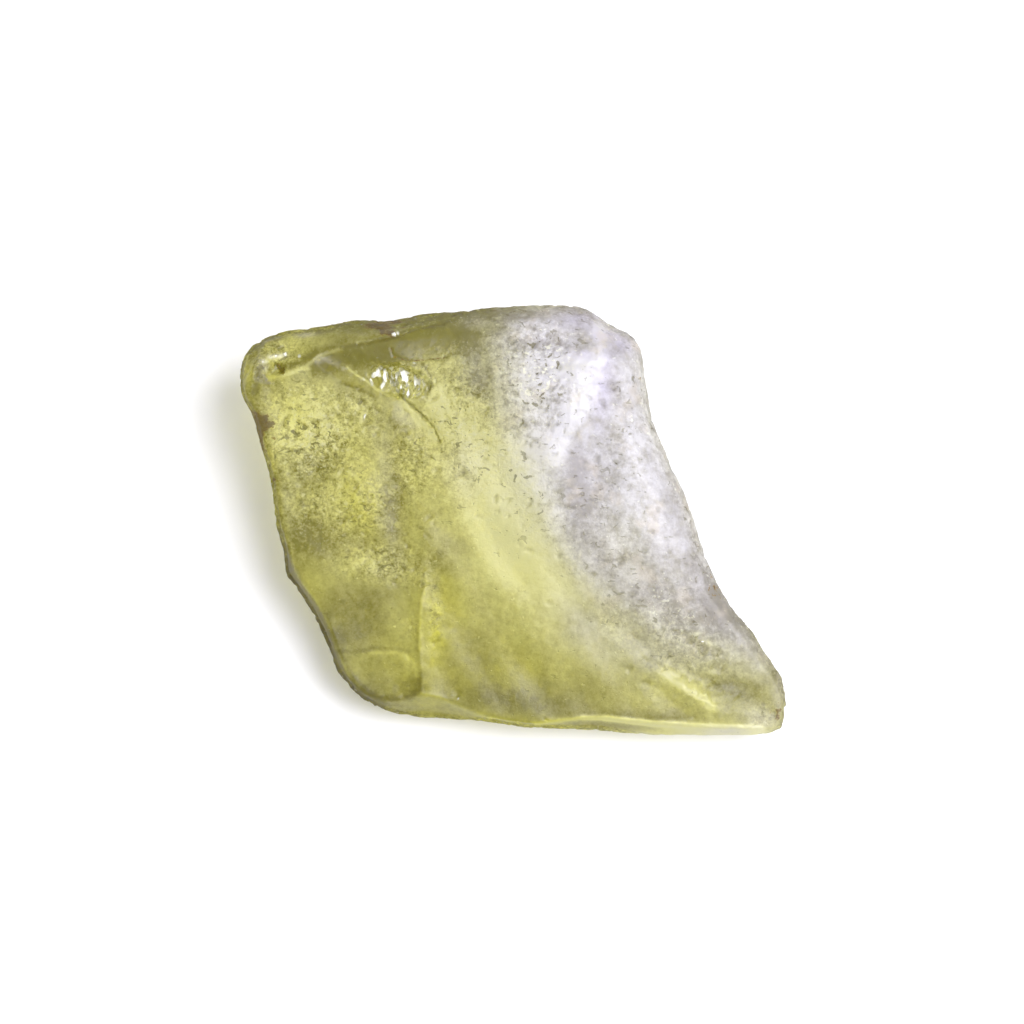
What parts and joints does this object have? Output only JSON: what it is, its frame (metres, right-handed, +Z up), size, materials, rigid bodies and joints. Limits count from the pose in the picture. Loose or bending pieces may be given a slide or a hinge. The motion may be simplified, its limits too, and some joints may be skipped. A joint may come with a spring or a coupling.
{
  "type": "desert glass specimen",
  "caption": "Flat, wedge-shaped lump of yellow natural silica glass, wind-worn and pitted, with flake scars, a chipped hollow and a flat underside to rest on.",
  "frame": {"origin": "on the surface it rests on, under the middle of its box", "axes": "+Z up from the resting face, +X along the stone's length towards its pointed tip, +Y towards its thick back edge"},
  "size_m": [0.048, 0.0374, 0.014],
  "materials": {
    "desert_glass": "clear straw-yellow silica glass with a frosted, wind-etched skin; iron-brown specks in a few pits and edges"
  },
  "bodies": {
    "root": {"desert_glass": "desert_glass"}
  },
  "joints": []
}
